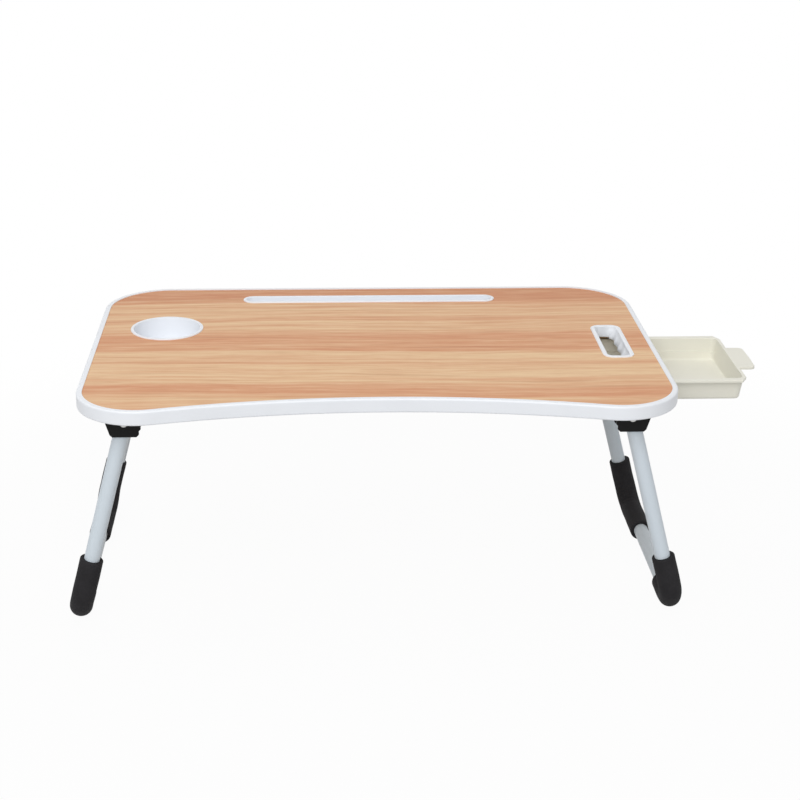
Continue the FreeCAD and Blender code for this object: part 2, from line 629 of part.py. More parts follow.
def hand_grip():
    """Open sleeve through the board with a finger rest inside and a rim that rests on the laminate."""
    body = new_body("hand_grip", "grip_x", "grip_y", "laminate_top")
    finger_rest(body)
    walls = "2 * insert_wall"
    sleeve = sketch_on(body, "XY_Plane")
    rectangle(sleeve, "0", "0", f"grip_mouth_width + {walls}", f"grip_mouth_length + {walls}",
              "grip_mouth_round + insert_wall")
    rectangle(sleeve, "0", "0", "grip_mouth_width", "grip_mouth_length", "grip_mouth_round")
    pad(body, sleeve, "grip_drop", down=True)
    rim = sketch_on(body, "XY_Plane")
    rectangle(rim, "0", "0", "grip_width", "grip_length", "grip_round")
    rectangle(rim, "0", "0", "grip_mouth_width", "grip_mouth_length", "grip_mouth_round")
    pad(body, rim, "flange_thick")
    top = number("flange_thick")
    round_edges(body, "flange_round", lambda edge: lies_at_height(edge, top))
    return body


def half_turn(needed):
    """Half a turn about Z, or none."""
    return FreeCAD.Rotation(FreeCAD.Vector(0, 0, 1), 180 if needed else 0)


def hinge_bracket(label, side, end):
    """Base plate with two ears and an outer wall that stops the open leg. Its own X points outwards."""
    turn = half_turn(side == LEFT)
    body = new_body(label, f"{side} * pivot_x", f"leg_y + {end} * upright_y", "pivot_z", turn)
    ears = sketch_on(body, "XZ_Plane")
    outline(ears, [
        ("ear_outer_top", "ear_top"),
        ("-(ear_inner + ear_step)", "ear_top"),
        ("-(ear_inner + ear_step)", "-ear_step_drop"),
        ("-ear_inner", "-(ear_step_drop + ear_step)"),
        ("-ear_inner", "-(ear_drop - ear_cut)"),
        ("-(ear_inner - ear_cut)", "-ear_drop"),
        ("ear_outer_low - ear_cut", "-ear_drop"),
        ("ear_outer_low", "-(ear_drop - ear_cut)"),
    ])
    pad(body, ears, "bracket_width", both=True)
    face = number("bracket_width / 2")
    top = number("ear_top")
    round_edges(body, "ear_round", lambda edge: near(abs(edge.BoundBox.Center.y), face)
                and not near(edge.BoundBox.ZMin, top))
    space = sketch_on(body, "XZ_Plane")
    outline(space, [
        ("stop_reach", "ear_top"),
        ("-(ear_inner + ear_step + overrun)", "ear_top"),
        ("-(ear_inner + ear_step + overrun)", "-(ear_drop + overrun)"),
        ("stop_low", "-(ear_drop + overrun)"),
        ("stop_low", "-ear_drop"),
        ("stop_reach", "0"),
    ])
    cut(body, space, "bracket_gap", both=True)
    plate = sketch_on(body, "XY_Plane", "ear_top")
    rectangle(plate, "0", "0", "plate_length", "plate_width", "plate_round")
    pad(body, plate, "plate_thick")
    pin_hole = sketch_on(body, "XZ_Plane")
    circle(pin_hole, "0", "0", "pin_radius + pin_fit")
    cut(body, pin_hole)
    screw_holes = sketch_on(body, "XY_Plane")
    for across in (LEFT, RIGHT):
        for along in (FRONT, REAR):
            circle(screw_holes, f"{across} * bracket_screw_x", f"{along} * bracket_screw_y",
                   "screw_radius + screw_fit")
    cut(body, screw_holes)
    return body


def pivot_pin(label, side, end):
    """Turned pin through the ears and the tube, its head on the table's outer side."""
    turn = half_turn(end == REAR)
    body = new_body(label, f"{side} * pivot_x", f"leg_y + {end} * upright_y", "pivot_z", turn)
    section = sketch_on(body, "YZ_Plane")
    face = "bracket_width / 2"
    outline(section, [
        (f"-({face} + pin_head_thick)", "0"),
        (f"{face} + pin_tail_thick", "0"),
        (f"{face} + pin_tail_thick", "pin_tail_radius", "pin_round"),
        (face, "pin_tail_radius"),
        (face, "pin_radius"),
        (f"-{face}", "pin_radius"),
        (f"-{face}", "pin_head_radius"),
        (f"-({face} + pin_head_thick)", "pin_head_radius", "pin_round"),
    ])
    revolve(body, section, "H_Axis")
    return body


def screws(label, low, held, spots):
    """Group of like screws driven up into the board, each with a cross recess in its head."""
    body = new_body(label, z=low)
    shanks = sketch_on(body, "XY_Plane")
    for x, y in spots:
        circle(shanks, x, y, "screw_radius")
    pad(body, shanks, f"{held} + screw_bite")
    heads = sketch_on(body, "XY_Plane")
    for x, y in spots:
        circle(heads, x, y, "screw_head_radius")
    pad(body, heads, "screw_head_thick", down=True)
    lowest = number("-screw_head_thick")
    round_edges(body, "screw_head_round", lambda edge: lies_at_height(edge, lowest))
    for length, width in (("recess_length", "recess_width"), ("recess_width", "recess_length")):
        recess = sketch_on(body, "XY_Plane", "-screw_head_thick")
        for x, y in spots:
            rectangle(recess, x, y, length, width)
        cut(body, recess, "recess_depth", up=True)
    return body


def drawer_rail(label, end):
    """Channel under the board that carries one side of the drawer's rim, with a stop at its inner end."""
    body = new_body(label, "rail_start_x", f"drawer_y + {end} * rail_web_y", "board_low")
    section = sketch_on(body, "YZ_Plane")
    points = [
        ("rail_flange", "0"),
        ("0", "0"),
        ("0", "upper_lip_low + rail_lip_thick"),
        ("-rail_lip_width", "upper_lip_low + rail_lip_thick"),
        ("-rail_lip_width", "upper_lip_low"),
        ("0", "upper_lip_low"),
        ("0", "lower_lip_top"),
        ("-rail_lip_width", "lower_lip_top"),
        ("-rail_lip_width", "lower_lip_top - rail_lip_thick"),
        ("rail_wall", "lower_lip_top - rail_lip_thick"),
        ("rail_wall", "-rail_wall"),
        ("rail_flange", "-rail_wall"),
    ]
    outline(section, [(f"{end} * ({across})", height) for across, height in points])
    pad(body, section, "rail_length")
    block = sketch_on(body, "YZ_Plane")
    block_points = [
        ("0", "upper_lip_low"),
        ("-rail_lip_width", "upper_lip_low"),
        ("-rail_lip_width", "lower_lip_top"),
        ("0", "lower_lip_top"),
    ]
    outline(block, [(f"{end} * ({across})", height) for across, height in block_points])
    pad(body, block, "rail_stop")
    holes = sketch_on(body, "XY_Plane")
    for share in RAIL_SCREW_SHARES:
        circle(holes, f"{share} * rail_length", f"{end} * rail_screw_y", "screw_radius + screw_fit")
    cut(body, holes)
    return body


def leg_turn(side):
    """Lean of an open leg. The right leg is the left one turned round."""
    lean = FreeCAD.Rotation(FreeCAD.Vector(0, 1, 0), number("splay_angle"))
    return half_turn(side == RIGHT) * lean


def leg_tube(label, side):
    """Bent tube: two uprights and the bar on the floor. Its own origin is the middle of the pivot axis."""
    body = new_body(label, f"{side} * pivot_x", "leg_y", "pivot_z", leg_turn(side))
    path = sketch_on(body, "YZ_Plane")
    outline(path, [
        ("-upright_y", "tube_end"),
        ("-upright_y", "-leg_length", "bend_radius"),
        ("upright_y", "-leg_length", "bend_radius"),
        ("upright_y", "tube_end"),
    ], closed=False)
    ring = sketch_on(body, "XY_Plane", "tube_end")
    circle(ring, "0", "-upright_y", "tube_radius")
    circle(ring, "0", "-upright_y", "tube_radius - tube_wall")
    pipe(body, path, ring)
    pin_holes = sketch_on(body, "XZ_Plane")
    circle(pin_holes, "0", "0", "pin_radius + pin_gap")
    cut(body, pin_holes)
    return body


def foot_sleeve(label, side, end, rise, arm):
    """Foam sleeve around a lower corner of a leg, flat where it stands on the floor."""
    body = new_body(label, f"{side} * pivot_x", "leg_y", "pivot_z", leg_turn(side))
    own_end = end * -side
    path = sketch_on(body, "YZ_Plane")
    outline(path, [
        (f"{own_end} * upright_y", f"{rise} - leg_length"),
        (f"{own_end} * upright_y", "-leg_length", "bend_radius"),
        (f"{own_end} * (upright_y - {arm})", "-leg_length"),
    ], closed=False)
    ring = sketch_on(body, "XY_Plane", f"{rise} - leg_length")
    circle(ring, "0", f"{own_end} * upright_y", "sleeve_radius")
    circle(ring, "0", f"{own_end} * upright_y", "sleeve_bore")
    pipe(body, path, ring)
    radius = number("sleeve_radius")
    bar_end = number(f"{own_end} * (upright_y - {arm})")
    top_end = number(f"{rise} - leg_length")

    def at_an_end(edge):
        """Whether an edge is the outer rim of one of the sleeve's ends."""
        if not hasattr(edge.Curve, "Radius") or not near(edge.Curve.Radius, radius):
            return False
        on_bar = near(edge.BoundBox.YMin, bar_end) and near(edge.BoundBox.YMax, bar_end)
        return on_bar or lies_at_height(edge, top_end)

    round_edges(body, "sleeve_round", at_an_end)
    ground = sketch_on(body, "XZ_Plane")
    steps = ((-1, "sole_drop"), (1, "sole_drop"), (1, "2 * sleeve_radius"), (-1, "2 * sleeve_radius"))
    outline(ground, [
        (f"({drop}) * sin(splay_angle) + {way} * 2 * sleeve_radius * cos(splay_angle)",
         f"-leg_length - ({drop}) * cos(splay_angle) + {way} * 2 * sleeve_radius * sin(splay_angle)")
        for way, drop in steps])
    cut(body, ground)
    return body


def drawer():
    """Moulded tray with a sliding rim, two ledges inside and a pull tab. Its X starts at the rim's end."""
    body = new_body("drawer_tray", "drawer_end_x", "drawer_y", "rim_z")
    rim = sketch_on(body, "XY_Plane")
    outline(rim, [
        ("-drawer_length", "-drawer_width / 2"),
        ("-rim_cut_length", "-drawer_width / 2"),
        ("0", "rim_cut_width - drawer_width / 2"),
        ("0", "drawer_width / 2 - rim_cut_width"),
        ("-rim_cut_length", "drawer_width / 2"),
        ("-drawer_length", "drawer_width / 2"),
    ])
    pad(body, rim, "drawer_rim_thick", down=True)
    tab = sketch_on(body, "XY_Plane")
    outline(tab, [
        ("-drawer_rim", "-tab_width / 2"),
        ("tab_reach", "-tab_width / 2", "tab_round"),
        ("tab_reach + tab_bulge", "0", "tab_width"),
        ("tab_reach", "tab_width / 2", "tab_round"),
        ("-drawer_rim", "tab_width / 2"),
    ])
    pad(body, tab, "tab_thick", down=True)
    middle = "-(drawer_end_rim + tub_length / 2)"
    tub = sketch_on(body, "XY_Plane")
    rectangle(tub, middle, "0", "tub_length", "2 * tub_half", "drawer_corner")
    pad(body, tub, "drawer_depth", down=True, taper="-draft_angle")
    lowest = number("-drawer_depth")
    round_edges(body, "drawer_round", lambda edge: lies_at_height(edge, lowest))
    walls = "2 * drawer_wall"
    upper = sketch_on(body, "XY_Plane")
    rectangle(upper, middle, "0", f"tub_length - {walls}", f"2 * tub_half - {walls}",
              "drawer_corner - drawer_wall")
    cut(body, upper, "ledge_drop", taper="-draft_angle")
    lower = sketch_on(body, "XY_Plane")
    rectangle(lower, middle, "0", f"tub_length - {walls}", f"2 * tub_half - {walls} - 2 * ledge_width",
              "drawer_corner - drawer_wall")
    cut(body, lower, "drawer_depth - drawer_wall", taper="-draft_angle")
    round_edges(body, "drawer_rim_round", lambda edge: lies_at_height(edge, 0))
    floor = number("drawer_wall - drawer_depth")
    round_edges(body, "drawer_floor_round", lambda edge: lies_at_height(edge, floor))
    return body


def build():
    """All sub-parts of the table."""
    pieces = [
        board_layer("board_core", "core_low", "core_thick", "screw_bite - sheet_thick"),
        board_layer("top_laminate", "core_top", "sheet_thick"),
        board_layer("underside_sheet", "board_low", "sheet_thick", "sheet_thick"),
        edge_band(),
        cup_holder(),
        tablet_slot(),
        hand_grip(),
    ]
    side_words = {LEFT: "left", RIGHT: "right"}
    end_words = {FRONT: "front", REAR: "rear"}
    for side, end in bracket_places():
        place = f"{end_words[end]}_{side_words[side]}"
        pieces.append(hinge_bracket(f"hinge_bracket_{place}", side, end))
        pieces.append(pivot_pin(f"pivot_pin_{place}", side, end))
        pieces.append(foot_sleeve(f"foot_sleeve_{place}", side, end, f"rise_{place}", f"arm_{place}"))
    for side in (LEFT, RIGHT):
        pieces.append(leg_tube(f"leg_tube_{side_words[side]}", side))
    for end in (FRONT, REAR):
        pieces.append(drawer_rail(f"drawer_rail_{end_words[end]}", end))
    pieces.append(screws("bracket_screws", "board_low - plate_thick", "plate_thick", bracket_screw_spots()))
    pieces.append(screws("rail_screws", "board_low - rail_wall", "rail_wall", rail_screw_spots()))
    pieces.append(drawer())
    return pieces


def check(piece):
    """Stop if any feature of a piece failed or its shape is not sound."""
    for item in [piece] + list(piece.Group):
        if {"Invalid", "Error"} & set(item.State):
            raise RuntimeError(f"{piece.Label}: {item.Name} is {item.State}")
    if piece.Shape.isNull() or not piece.Shape.isValid():
        raise RuntimeError(f"{piece.Label} has no sound shape")


pieces = build()
doc.recompute()
os.makedirs("parts", exist_ok=True)
for piece in pieces:
    check(piece)
    piece.Shape.exportStep(f"parts/{piece.Label}.step")
    print(f"{piece.Label}: {len(piece.Shape.Solids)} solids, {piece.Shape.Volume:.1f} mm3")
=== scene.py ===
"""Looks of the folding laptop table.

Its pieces get their finishes, the foam sleeves and the hand grip their full shapes, and the table its stage.
"""
import json
import math

import bpy
import numpy as np
from mathutils import Matrix, Vector


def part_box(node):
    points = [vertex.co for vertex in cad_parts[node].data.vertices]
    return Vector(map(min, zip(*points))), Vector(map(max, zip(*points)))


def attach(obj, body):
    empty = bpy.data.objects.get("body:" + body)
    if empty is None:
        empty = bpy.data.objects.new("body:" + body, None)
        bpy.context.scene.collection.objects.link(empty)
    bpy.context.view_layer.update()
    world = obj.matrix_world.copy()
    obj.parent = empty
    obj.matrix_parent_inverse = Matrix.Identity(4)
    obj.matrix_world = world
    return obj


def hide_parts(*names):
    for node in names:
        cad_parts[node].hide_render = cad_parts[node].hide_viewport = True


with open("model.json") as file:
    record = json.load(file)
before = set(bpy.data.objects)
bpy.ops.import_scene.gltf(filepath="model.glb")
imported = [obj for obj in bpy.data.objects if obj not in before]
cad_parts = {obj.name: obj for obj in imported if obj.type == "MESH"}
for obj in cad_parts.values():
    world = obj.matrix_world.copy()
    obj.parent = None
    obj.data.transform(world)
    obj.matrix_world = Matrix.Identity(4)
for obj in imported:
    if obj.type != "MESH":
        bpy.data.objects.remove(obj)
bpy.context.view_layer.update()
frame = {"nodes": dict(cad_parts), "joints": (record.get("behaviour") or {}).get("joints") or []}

bl_info = {
    "name": "Folding laptop table",
    "version": (1, 0, 0),
    "blender": (4, 5, 0),
    "location": "3D View > Sidebar > Table",
    "description": "Finishes the pieces of a folding laptop table and sets up its stage",
    "category": "Object",
}

NODES = frame["nodes"]
JOINTS = {joint["name"]: joint for joint in frame["joints"]}
PLACES = ("front_left", "rear_left", "front_right", "rear_right")
TOP_LOW, TOP_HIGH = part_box("edge_band")
MM = 0.001
QUARTER_TURN = math.pi / 2
FULL_TURN = 2 * math.pi
WHITE = (1, 1, 1, 1)

# Warm bands of the printed wood, front to back: place as a share of the top's depth, and warmth
BAND_SHARES = (
    (0.0, 0.7), (0.085, 0.3), (0.11, 0.72), (0.165, 0.9), (0.195, 0.4), (0.27, 0.08), (0.31, 0.2),
    (0.345, 0.6), (0.36, 0.25), (0.395, 0.1), (0.425, 0.2), (0.437, 1.0), (0.49, 0.75), (0.54, 1.0),
    (0.585, 0.5), (0.65, 0.22), (0.705, 0.7), (0.722, 0.35), (0.8, 0.3), (0.855, 0.6), (0.88, 1.0),
    (1.0, 1.0))
# Small ripple as a share of the sway, streaks of a finer and a coarser layer to one fine streak,
# and radians by which the fine streaks push the growth lines
RIPPLE_SHARE = 0.25
FINER = 2.7
COARSER = 0.6
LINE_WANDER = 4

# Hand grip: points of its grid round the opening and on each stretch of the wall's outline
GRIP_ROUND = 560
RIM_TURN = 9
TOE_TURN = 15
GRIP_INSIDE = 48
GRIP_OUTSIDE = 6
# Foot of the rim's outer side as a share of its edge, power of the sine in a finger's hollow,
# and share of the depth over which the inside moves in
RIM_FOOT = 1 / 9
HOLLOW_POWER = 1.4
LEAN_DEPTH = 0.85

# Foam sleeves: points of their grids round the tube and on each stretch of the wall's outline
SLEEVE_ROUND = 96
END_TURN = 7
SLEEVE_OUTSIDE = 220
SLEEVE_BORE = 90
# Slow waves in the foam: radians for each metre along the sleeve, for each radian round it, and at the start
SWELLS = ((61, 2, 0), (147, -3, 1.3), (233, 1, 0.4))
# Share of the bend that wrinkles, power by which that fades, height in outer radii over which a slip grows,
# and softness of the sole's edge
WRINKLED_SHARE = 0.42
WRINKLE_FADE = 4
SLIP_RISE = 2
SOLE_SOFT = 0.2 * MM


def screen_colour(red, green, blue):
    """Linear colour of a screen colour given in steps from 0 to 255, by the usual screen curve."""
    shares = np.array((red, green, blue)) / 255
    return tuple(np.where(shares <= 0.04045, shares / 12.92, ((shares + 0.055) / 1.055) ** 2.4))


def colour(name, description, default):
    """Colour that a user may change."""
    return bpy.props.FloatVectorProperty(
        name=name, description=description, default=default, size=3, min=0, max=1, subtype="COLOR")


def length(name, description, default):
    """Length in metres that a user may change."""
    return bpy.props.FloatProperty(
        name=name, description=description, default=default, min=0, unit="LENGTH", precision=5)


def spot(name, description, default):
    """Place in metres that a user may change."""
    return bpy.props.FloatVectorProperty(
        name=name, description=description, default=default, size=3, subtype="TRANSLATION", unit="LENGTH")


def angle(name, description, default):
    """Angle in radians that a user may change."""
    return bpy.props.FloatProperty(name=name, description=description, default=default, subtype="ANGLE")


def share(name, description, default):
    """Share from nothing to all that a user may change."""
    return bpy.props.FloatProperty(
        name=name, description=description, default=default, min=0, max=1, subtype="FACTOR")


def watts(name, description, default):
    """Power of a lamp in watts that a user may change."""
    return bpy.props.FloatProperty(name=name, description=description, default=default, min=0, unit="POWER")


class WoodLooks(bpy.types.PropertyGroup):
    """Printed wood of the laminate."""
    pale: colour("Pale band", "Colour of the yellow bands", screen_colour(235, 199, 157))
    warm: colour("Warm band", "Colour of the pinkish bands", screen_colour(216, 154, 115))
    # The growth lines' colour is also painted as shade over the rear of the top
    line: colour("Growth line", "Colour of the thin dark lines", screen_colour(184, 118, 82))
    glint: colour("Pale fibre", "Colour of the thin pale streaks", screen_colour(246, 220, 182))
    sway: length("Sway", "How far the bands wander across the grain", 50 * MM)
    growth: length("Growth", "From one growth line to the next", 1 / 62)
    strand: length("Strand", "Width of a middling streak", 8 * MM)
    streak: length("Streak", "Width of a fine streak", 2.6 * MM)
    fibre: length("Fibre", "Width of a pore", 0.5 * MM)


class PaperLooks(bpy.types.PropertyGroup):
    """Backing paper on the underside."""
    paper: colour("Paper", "Colour of the paper", screen_colour(196, 158, 112))
    shade: colour("Clouds", "Colour of the paper's darker clouds", screen_colour(178, 138, 94))
    fleck: colour("Flecks", "Colour of the paper's dark flecks", screen_colour(112, 78, 48))


class BoardLooks(bpy.types.PropertyGroup):
    """Pressed board inside the top."""
    dark: colour("Dark fibre", "Colour of the board's dark fibres", screen_colour(128, 96, 66))
    pale: colour("Pale fibre", "Colour of the board's pale fibres", screen_colour(186, 150, 110))


class PlasticLooks(bpy.types.PropertyGroup):
    """Moulded plastics."""
    white: colour("White", "Edge band and inserts", screen_colour(241, 244, 249))
    ivory: colour("Ivory", "Drawer", screen_colour(236, 234, 221))
    rail: colour("Rail", "Drawer rails", screen_colour(226, 225, 216))
    black: colour("Black", "Hinge brackets", screen_colour(19, 19, 19))
    skin: length("Skin", "Size of the moulded skin's texture", 0.5 * MM)


class GripLooks(bpy.types.PropertyGroup):
    """Hand grip."""
    rim: length("Rim", "Width of the rim around the opening", 4.8 * MM)
    flange: length("Flange", "Height of the rim above the laminate", 1.2 * MM)
    edge: length("Edge", "Rounding of the rim's outer edge", 0.6 * MM)
    lip: length("Lip", "Rounding of the rim's inner edge", 0.9 * MM)
    wall: length("Wall", "Thickness of the wall below the rim", 1.8 * MM)
    corner: length("Corner", "Corner radius of the opening", 6.2 * MM)
    throat: length("Throat", "Corner radius of the opening's outer end at its lower edge", 15 * MM)
    rest: length("Finger rest", "How far the finger rest leans into the opening", 5 * MM)
    dip: length("Finger hollow", "Depth of a finger's hollow in the rest", 1.8 * MM)
    pitch: length("Finger pitch", "From one finger's hollow to the next", 22 * MM)


class MetalLooks(bpy.types.PropertyGroup):
    """Painted and plated metal."""
    paint: colour("Paint", "Powder coat of the leg tubes", screen_colour(215, 225, 233))
    zinc: colour("Zinc", "Plate on the pins and screws", screen_colour(206, 206, 204))
    peel: length("Peel", "Size of the ripples in the powder coat", 1.4 * MM)


class FoamLooks(bpy.types.PropertyGroup):
    """Foam sleeves."""
    colour: colour("Foam", "Colour of the foam", screen_colour(44, 43, 45))
    cell: length("Cell", "Size of the foam's cells", 0.8 * MM)
    bore: length("Bore", "Inside radius of a sleeve", 8.05 * MM)
    wall: length("Wall", "Thickness of the foam", 4 * MM)
    bend: length("Bend", "Bend of the tube inside, to its middle", 34 * MM)
    round: length("Round", "Rounding of the sleeve's ends", 1.2 * MM)
    sole: length("Sole", "How far the foam is pressed flat by the floor", 0.8 * MM)
    dent: length("Dent", "Height of the foam's unevenness", 0.12 * MM)
    wrinkle: length("Wrinkle", "Height of the wrinkles inside the bend", 0.3 * MM)
    wrinkle_step: length("Wrinkle step", "From one wrinkle to the next", 5.5 * MM)
    slip_rear_left: length("Rear left slip", "How far this sleeve's foam sits outwards", 2 * MM)
    slip_rear_right: length("Rear right slip", "How far this sleeve's foam sits outwards", 0.9 * MM)
    slip_front_left: length("Front left slip", "How far this sleeve's foam sits outwards", 0)
    slip_front_right: length("Front right slip", "How far this sleeve's foam sits outwards", 0.8 * MM)


class StageLooks(bpy.types.PropertyGroup):
    """Floor, light and camera."""
    floor: length("Floor", "Side of the floor", 12)
    bounce: share("Bounce", "How much light the floor throws back", 0.66)
    whiteness: share("Whiteness", "How much of the floor's shade the camera doesn't see", 0.96)
    shade_near: length("Shade", "How far from the middle the floor keeps its shade", 0.45)
    shade_far: length("White", "How far from the middle the floor is plain white", 0.9)
    sky: share("Sky", "Even light from all round, as a share of white", 0.42)
    key: watts("Key", "Power of the large lamp in front", 58)
    key_size: length("Key size", "Side of the large lamp in front", 2.2)
    key_place: spot("Key place", "Where the large lamp in front hangs", (-0.55, -2.7, 2.2))
    fill: watts("Fill", "Power of the lamp above", 21)
    fill_size: length("Fill size", "Side of the lamp above", 2.4)
    fill_place: spot("Fill place", "Where the lamp above hangs", (-0.5, 0.3, 3.2))
    lens: bpy.props.FloatProperty(
        name="Lens", description="Focal length on a 36 mm sensor", default=76.0, min=1, unit="CAMERA")
    eye: spot("Eye", "Camera from the middle of the table's upper face", (-66.7 * MM, -1713.8 * MM, 590 * MM))
    turn: angle("Turn", "Camera's turn about the upright axis", -0.0554)
    tilt: angle("Tilt", "Camera's view downwards", 0.3655)
    roll: angle("Roll", "Camera's lean to one side", 0.00967)


class Wire:
    """Wraps one socket of a node tree, so that shader maths reads as sums."""

    def __init__(self, tree, socket=None):
        self.tree = tree
        self.socket = socket

    def node(self, kind, settings=None, inputs=None, output=0):
        """Add a node: first its settings, then a value or a wire for each input."""
        made = self.tree.nodes.new(kind)
        for name, value in (settings or {}).items():
            if name == "stops":
                self.set_stops(made.color_ramp, value)
            else:
                setattr(made, name, value)
        for name, value in (inputs or {}).items():
            if isinstance(value, Wire):
                self.tree.links.new(value.socket, made.inputs[name])
            else:
                made.inputs[name].default_value = value
        return Wire(self.tree, made.outputs[output])

    @staticmethod
    def set_stops(ramp, stops):
        """Give a ramp its stops, each a place and a brightness."""
        while len(ramp.elements) < len(stops):
            ramp.elements.new(1)
        for element, (place, bright) in zip(ramp.elements, stops):
            element.position = place
            element.color = (bright, bright, bright, 1)

    def sibling(self, output):
        """Another output of the node that this wire comes from."""
        return Wire(self.tree, self.socket.node.outputs[output])

    def maths(self, operation, *values):
        """Add a Math node on values and wires."""
        return self.node("ShaderNodeMath", {"operation": operation}, dict(enumerate(values)))

    def __add__(self, other):
        return self.maths("ADD", self, other)

    __radd__ = __add__

    def __sub__(self, other):
        return self.maths("SUBTRACT", self, other)

    def __rsub__(self, other):
        return self.maths("SUBTRACT", other, self)

    def __mul__(self, other):
        return self.maths("MULTIPLY", self, other)

    __rmul__ = __mul__

    def __truediv__(self, other):
        return self.maths("DIVIDE", self, other)

    def __rtruediv__(self, other):
        return self.maths("DIVIDE", other, self)

    def sine(self):
        """Sine of an angle in radians."""
        return self.maths("SINE", self)

    def clamp(self):
        """Value kept from 0 to 1."""
        return self.node("ShaderNodeClamp", inputs={"Value": self})

    def swing(self, size=1):
        """Noise turned into ups and downs about zero, of this size from the lowest to the highest."""
        swung = self - 0.5
        return swung if size == 1 else swung * size

    def between(self, zero, one):
        """Smooth change from 0 at one value to 1 at another."""
        return self.node("ShaderNodeMapRange", {"interpolation_type": "SMOOTHSTEP"},
                         {"Value": self, "From Min": zero, "From Max": one})

    def stretched(self, x, y, z):
        """Place multiplied along each axis."""
        return self.node("ShaderNodeVectorMath", {"operation": "MULTIPLY"}, {0: self, 1: (x, y, z)})

    def noise(self, scale, detail, roughness):
        """Cloudy noise from 0 to 1 at this place, with so many cells to a metre."""
        return self.node("ShaderNodeTexNoise", None,
                         {"Vector": self, "Scale": scale, "Detail": detail, "Roughness": roughness})

    def grain(self, along, across, detail, roughness):
        """Cloudy noise from 0 to 1 at this place, with so many cells to a metre along X and along Y."""
        return self.stretched(along, across, 1).noise(1, detail, roughness)

    def blend(self, first, second, strength=1):
        """Colour between two. This wire times the strength, kept from 0 to 1, is the share of the second."""
        part = self if strength == 1 else self * strength
        ends = [value if isinstance(value, Wire) else (*value, 1) for value in (first, second)]
        return self.node("ShaderNodeMix", {"data_type": "RGBA"}, {0: part, 6: ends[0], 7: ends[1]}, output=2)

    def bump(self, strength, distance):
        """Surface direction from this wire as a height."""
        return self.node("ShaderNodeBump", None, {"Height": self, "Strength": strength, "Distance": distance})


def surface(name, **settings):
    """New material: its main shader with constant settings, and the place on the object as a wire.

    Settings are named after the shader's sockets, with underscores for spaces.
    """
    material = bpy.data.materials.new(name)
    material.use_nodes = True
    tree = material.node_tree
    shader = tree.nodes["Principled BSDF"]
    for socket, value in settings.items():
        shader.inputs[socket.replace("_", " ")].default_value = value
    place = Wire(tree).node("ShaderNodeTexCoord", output="Object")
    return material, shader, place


def link(shader, **wires):
    """Join wires to the main shader, named after its sockets with underscores for spaces."""
    for name, wire in wires.items():
        wire.tree.links.new(wire.socket, shader.inputs[name.replace("_", " ")])


def times(base, brightness):
    """Colour made darker or brighter."""
    return tuple(brightness * part for part in base)


def wood_laminate(looks, rough=0.42):
    """Printed wood: warm and pale bands that sway along X, growth lines, fine streaks and pores.

    The place across the grain, moved by two slow noises, picks a band's warmth from a ramp. Noises drawn
    out along the grain add strands and streaks to it. Growth lines are the crests of a sine across the grain,
    seen in patches. The rear of the top is darkened towards the growth lines' colour as painted shade.
    """
    material, shader, place = surface("wood_laminate", Specular_IOR_Level=0.16)
    across = place.node("ShaderNodeSeparateXYZ", None, {"Vector": place}, output="Y")
    along = across.sibling("X")
    sway = place.grain(along=2.3, across=3.4, detail=1, roughness=0.4)
    ripple = place.grain(along=8, across=20, detail=2, roughness=0.5)
    across = across + sway.swing(looks.sway) + ripple.swing(looks.sway * RIPPLE_SHARE)
    flow = place.node("ShaderNodeCombineXYZ", None, {"X": along, "Y": across})
    band = (across - TOP_LOW.y) / (TOP_HIGH.y - TOP_LOW.y)
    warmth = place.node("ShaderNodeValToRGB", {"stops": BAND_SHARES}, {"Fac": band})
    strand = flow.grain(along=2.6, across=1 / looks.strand, detail=2, roughness=0.5)
    streak = flow.grain(along=6, across=1 / looks.streak, detail=3, roughness=0.6)
    fine = flow.grain(along=20, across=FINER / looks.streak, detail=2, roughness=0.5)
    fibres = flow.grain(along=17, across=COARSER / looks.streak, detail=3, roughness=0.6).swing()
    patch = flow.grain(along=4, across=34, detail=2, roughness=0.5).between(zero=0.5, one=0.66)
    pores = flow.grain(along=60, across=1 / looks.fibre, detail=1, roughness=0.4).between(zero=0.6, one=0.74)
    rings = (across * (FULL_TURN / looks.growth) + streak * LINE_WANDER).sine()
    lines = rings.between(zero=0.3, one=1) * patch
    warmth = warmth + strand.swing(size=1.8) + streak.swing(size=0.85) + fine.swing(size=0.5)
    wood = warmth.blend(looks.pale, looks.warm)
    # Painted shade: the rear of the top is darkened towards the growth lines' colour, where less light falls
    wood = band.between(zero=0.85, one=0.9).blend(wood, looks.line, strength=0.22)
    wood = fibres.blend(wood, looks.glint, strength=1.3)
    wood = fibres.blend(wood, looks.line, strength=-1.1)
    wood = lines.blend(wood, looks.line, strength=0.3)
    wood = pores.blend(wood, looks.line, strength=0.22)
    link(shader, Base_Color=wood, Roughness=rough + streak * 0.12 + pores * 0.1,
         Normal=(streak * 0.3 - pores * 0.6).bump(strength=0.2, distance=0.1 * MM))
    return material


def moulded(name, base, skin, rough, gloss=0.5):
    """Moulded plastic: a fine skin, faint flow clouds and slight differences in gloss."""
    material, shader, place = surface(name, Specular_IOR_Level=gloss)
    grain = place.noise(scale=1 / skin, detail=2, roughness=0.6)
    cloud = place.noise(scale=14, detail=3, roughness=0.55)
    flow = cloud.between(zero=0.35, one=0.75)
    link(shader, Base_Color=flow.blend(base, times(base, brightness=0.93), strength=0.5),
         Roughness=rough + grain.swing(size=0.1) + cloud.swing(size=0.08),
         Normal=grain.bump(strength=0.12, distance=0.05 * MM))
    return material


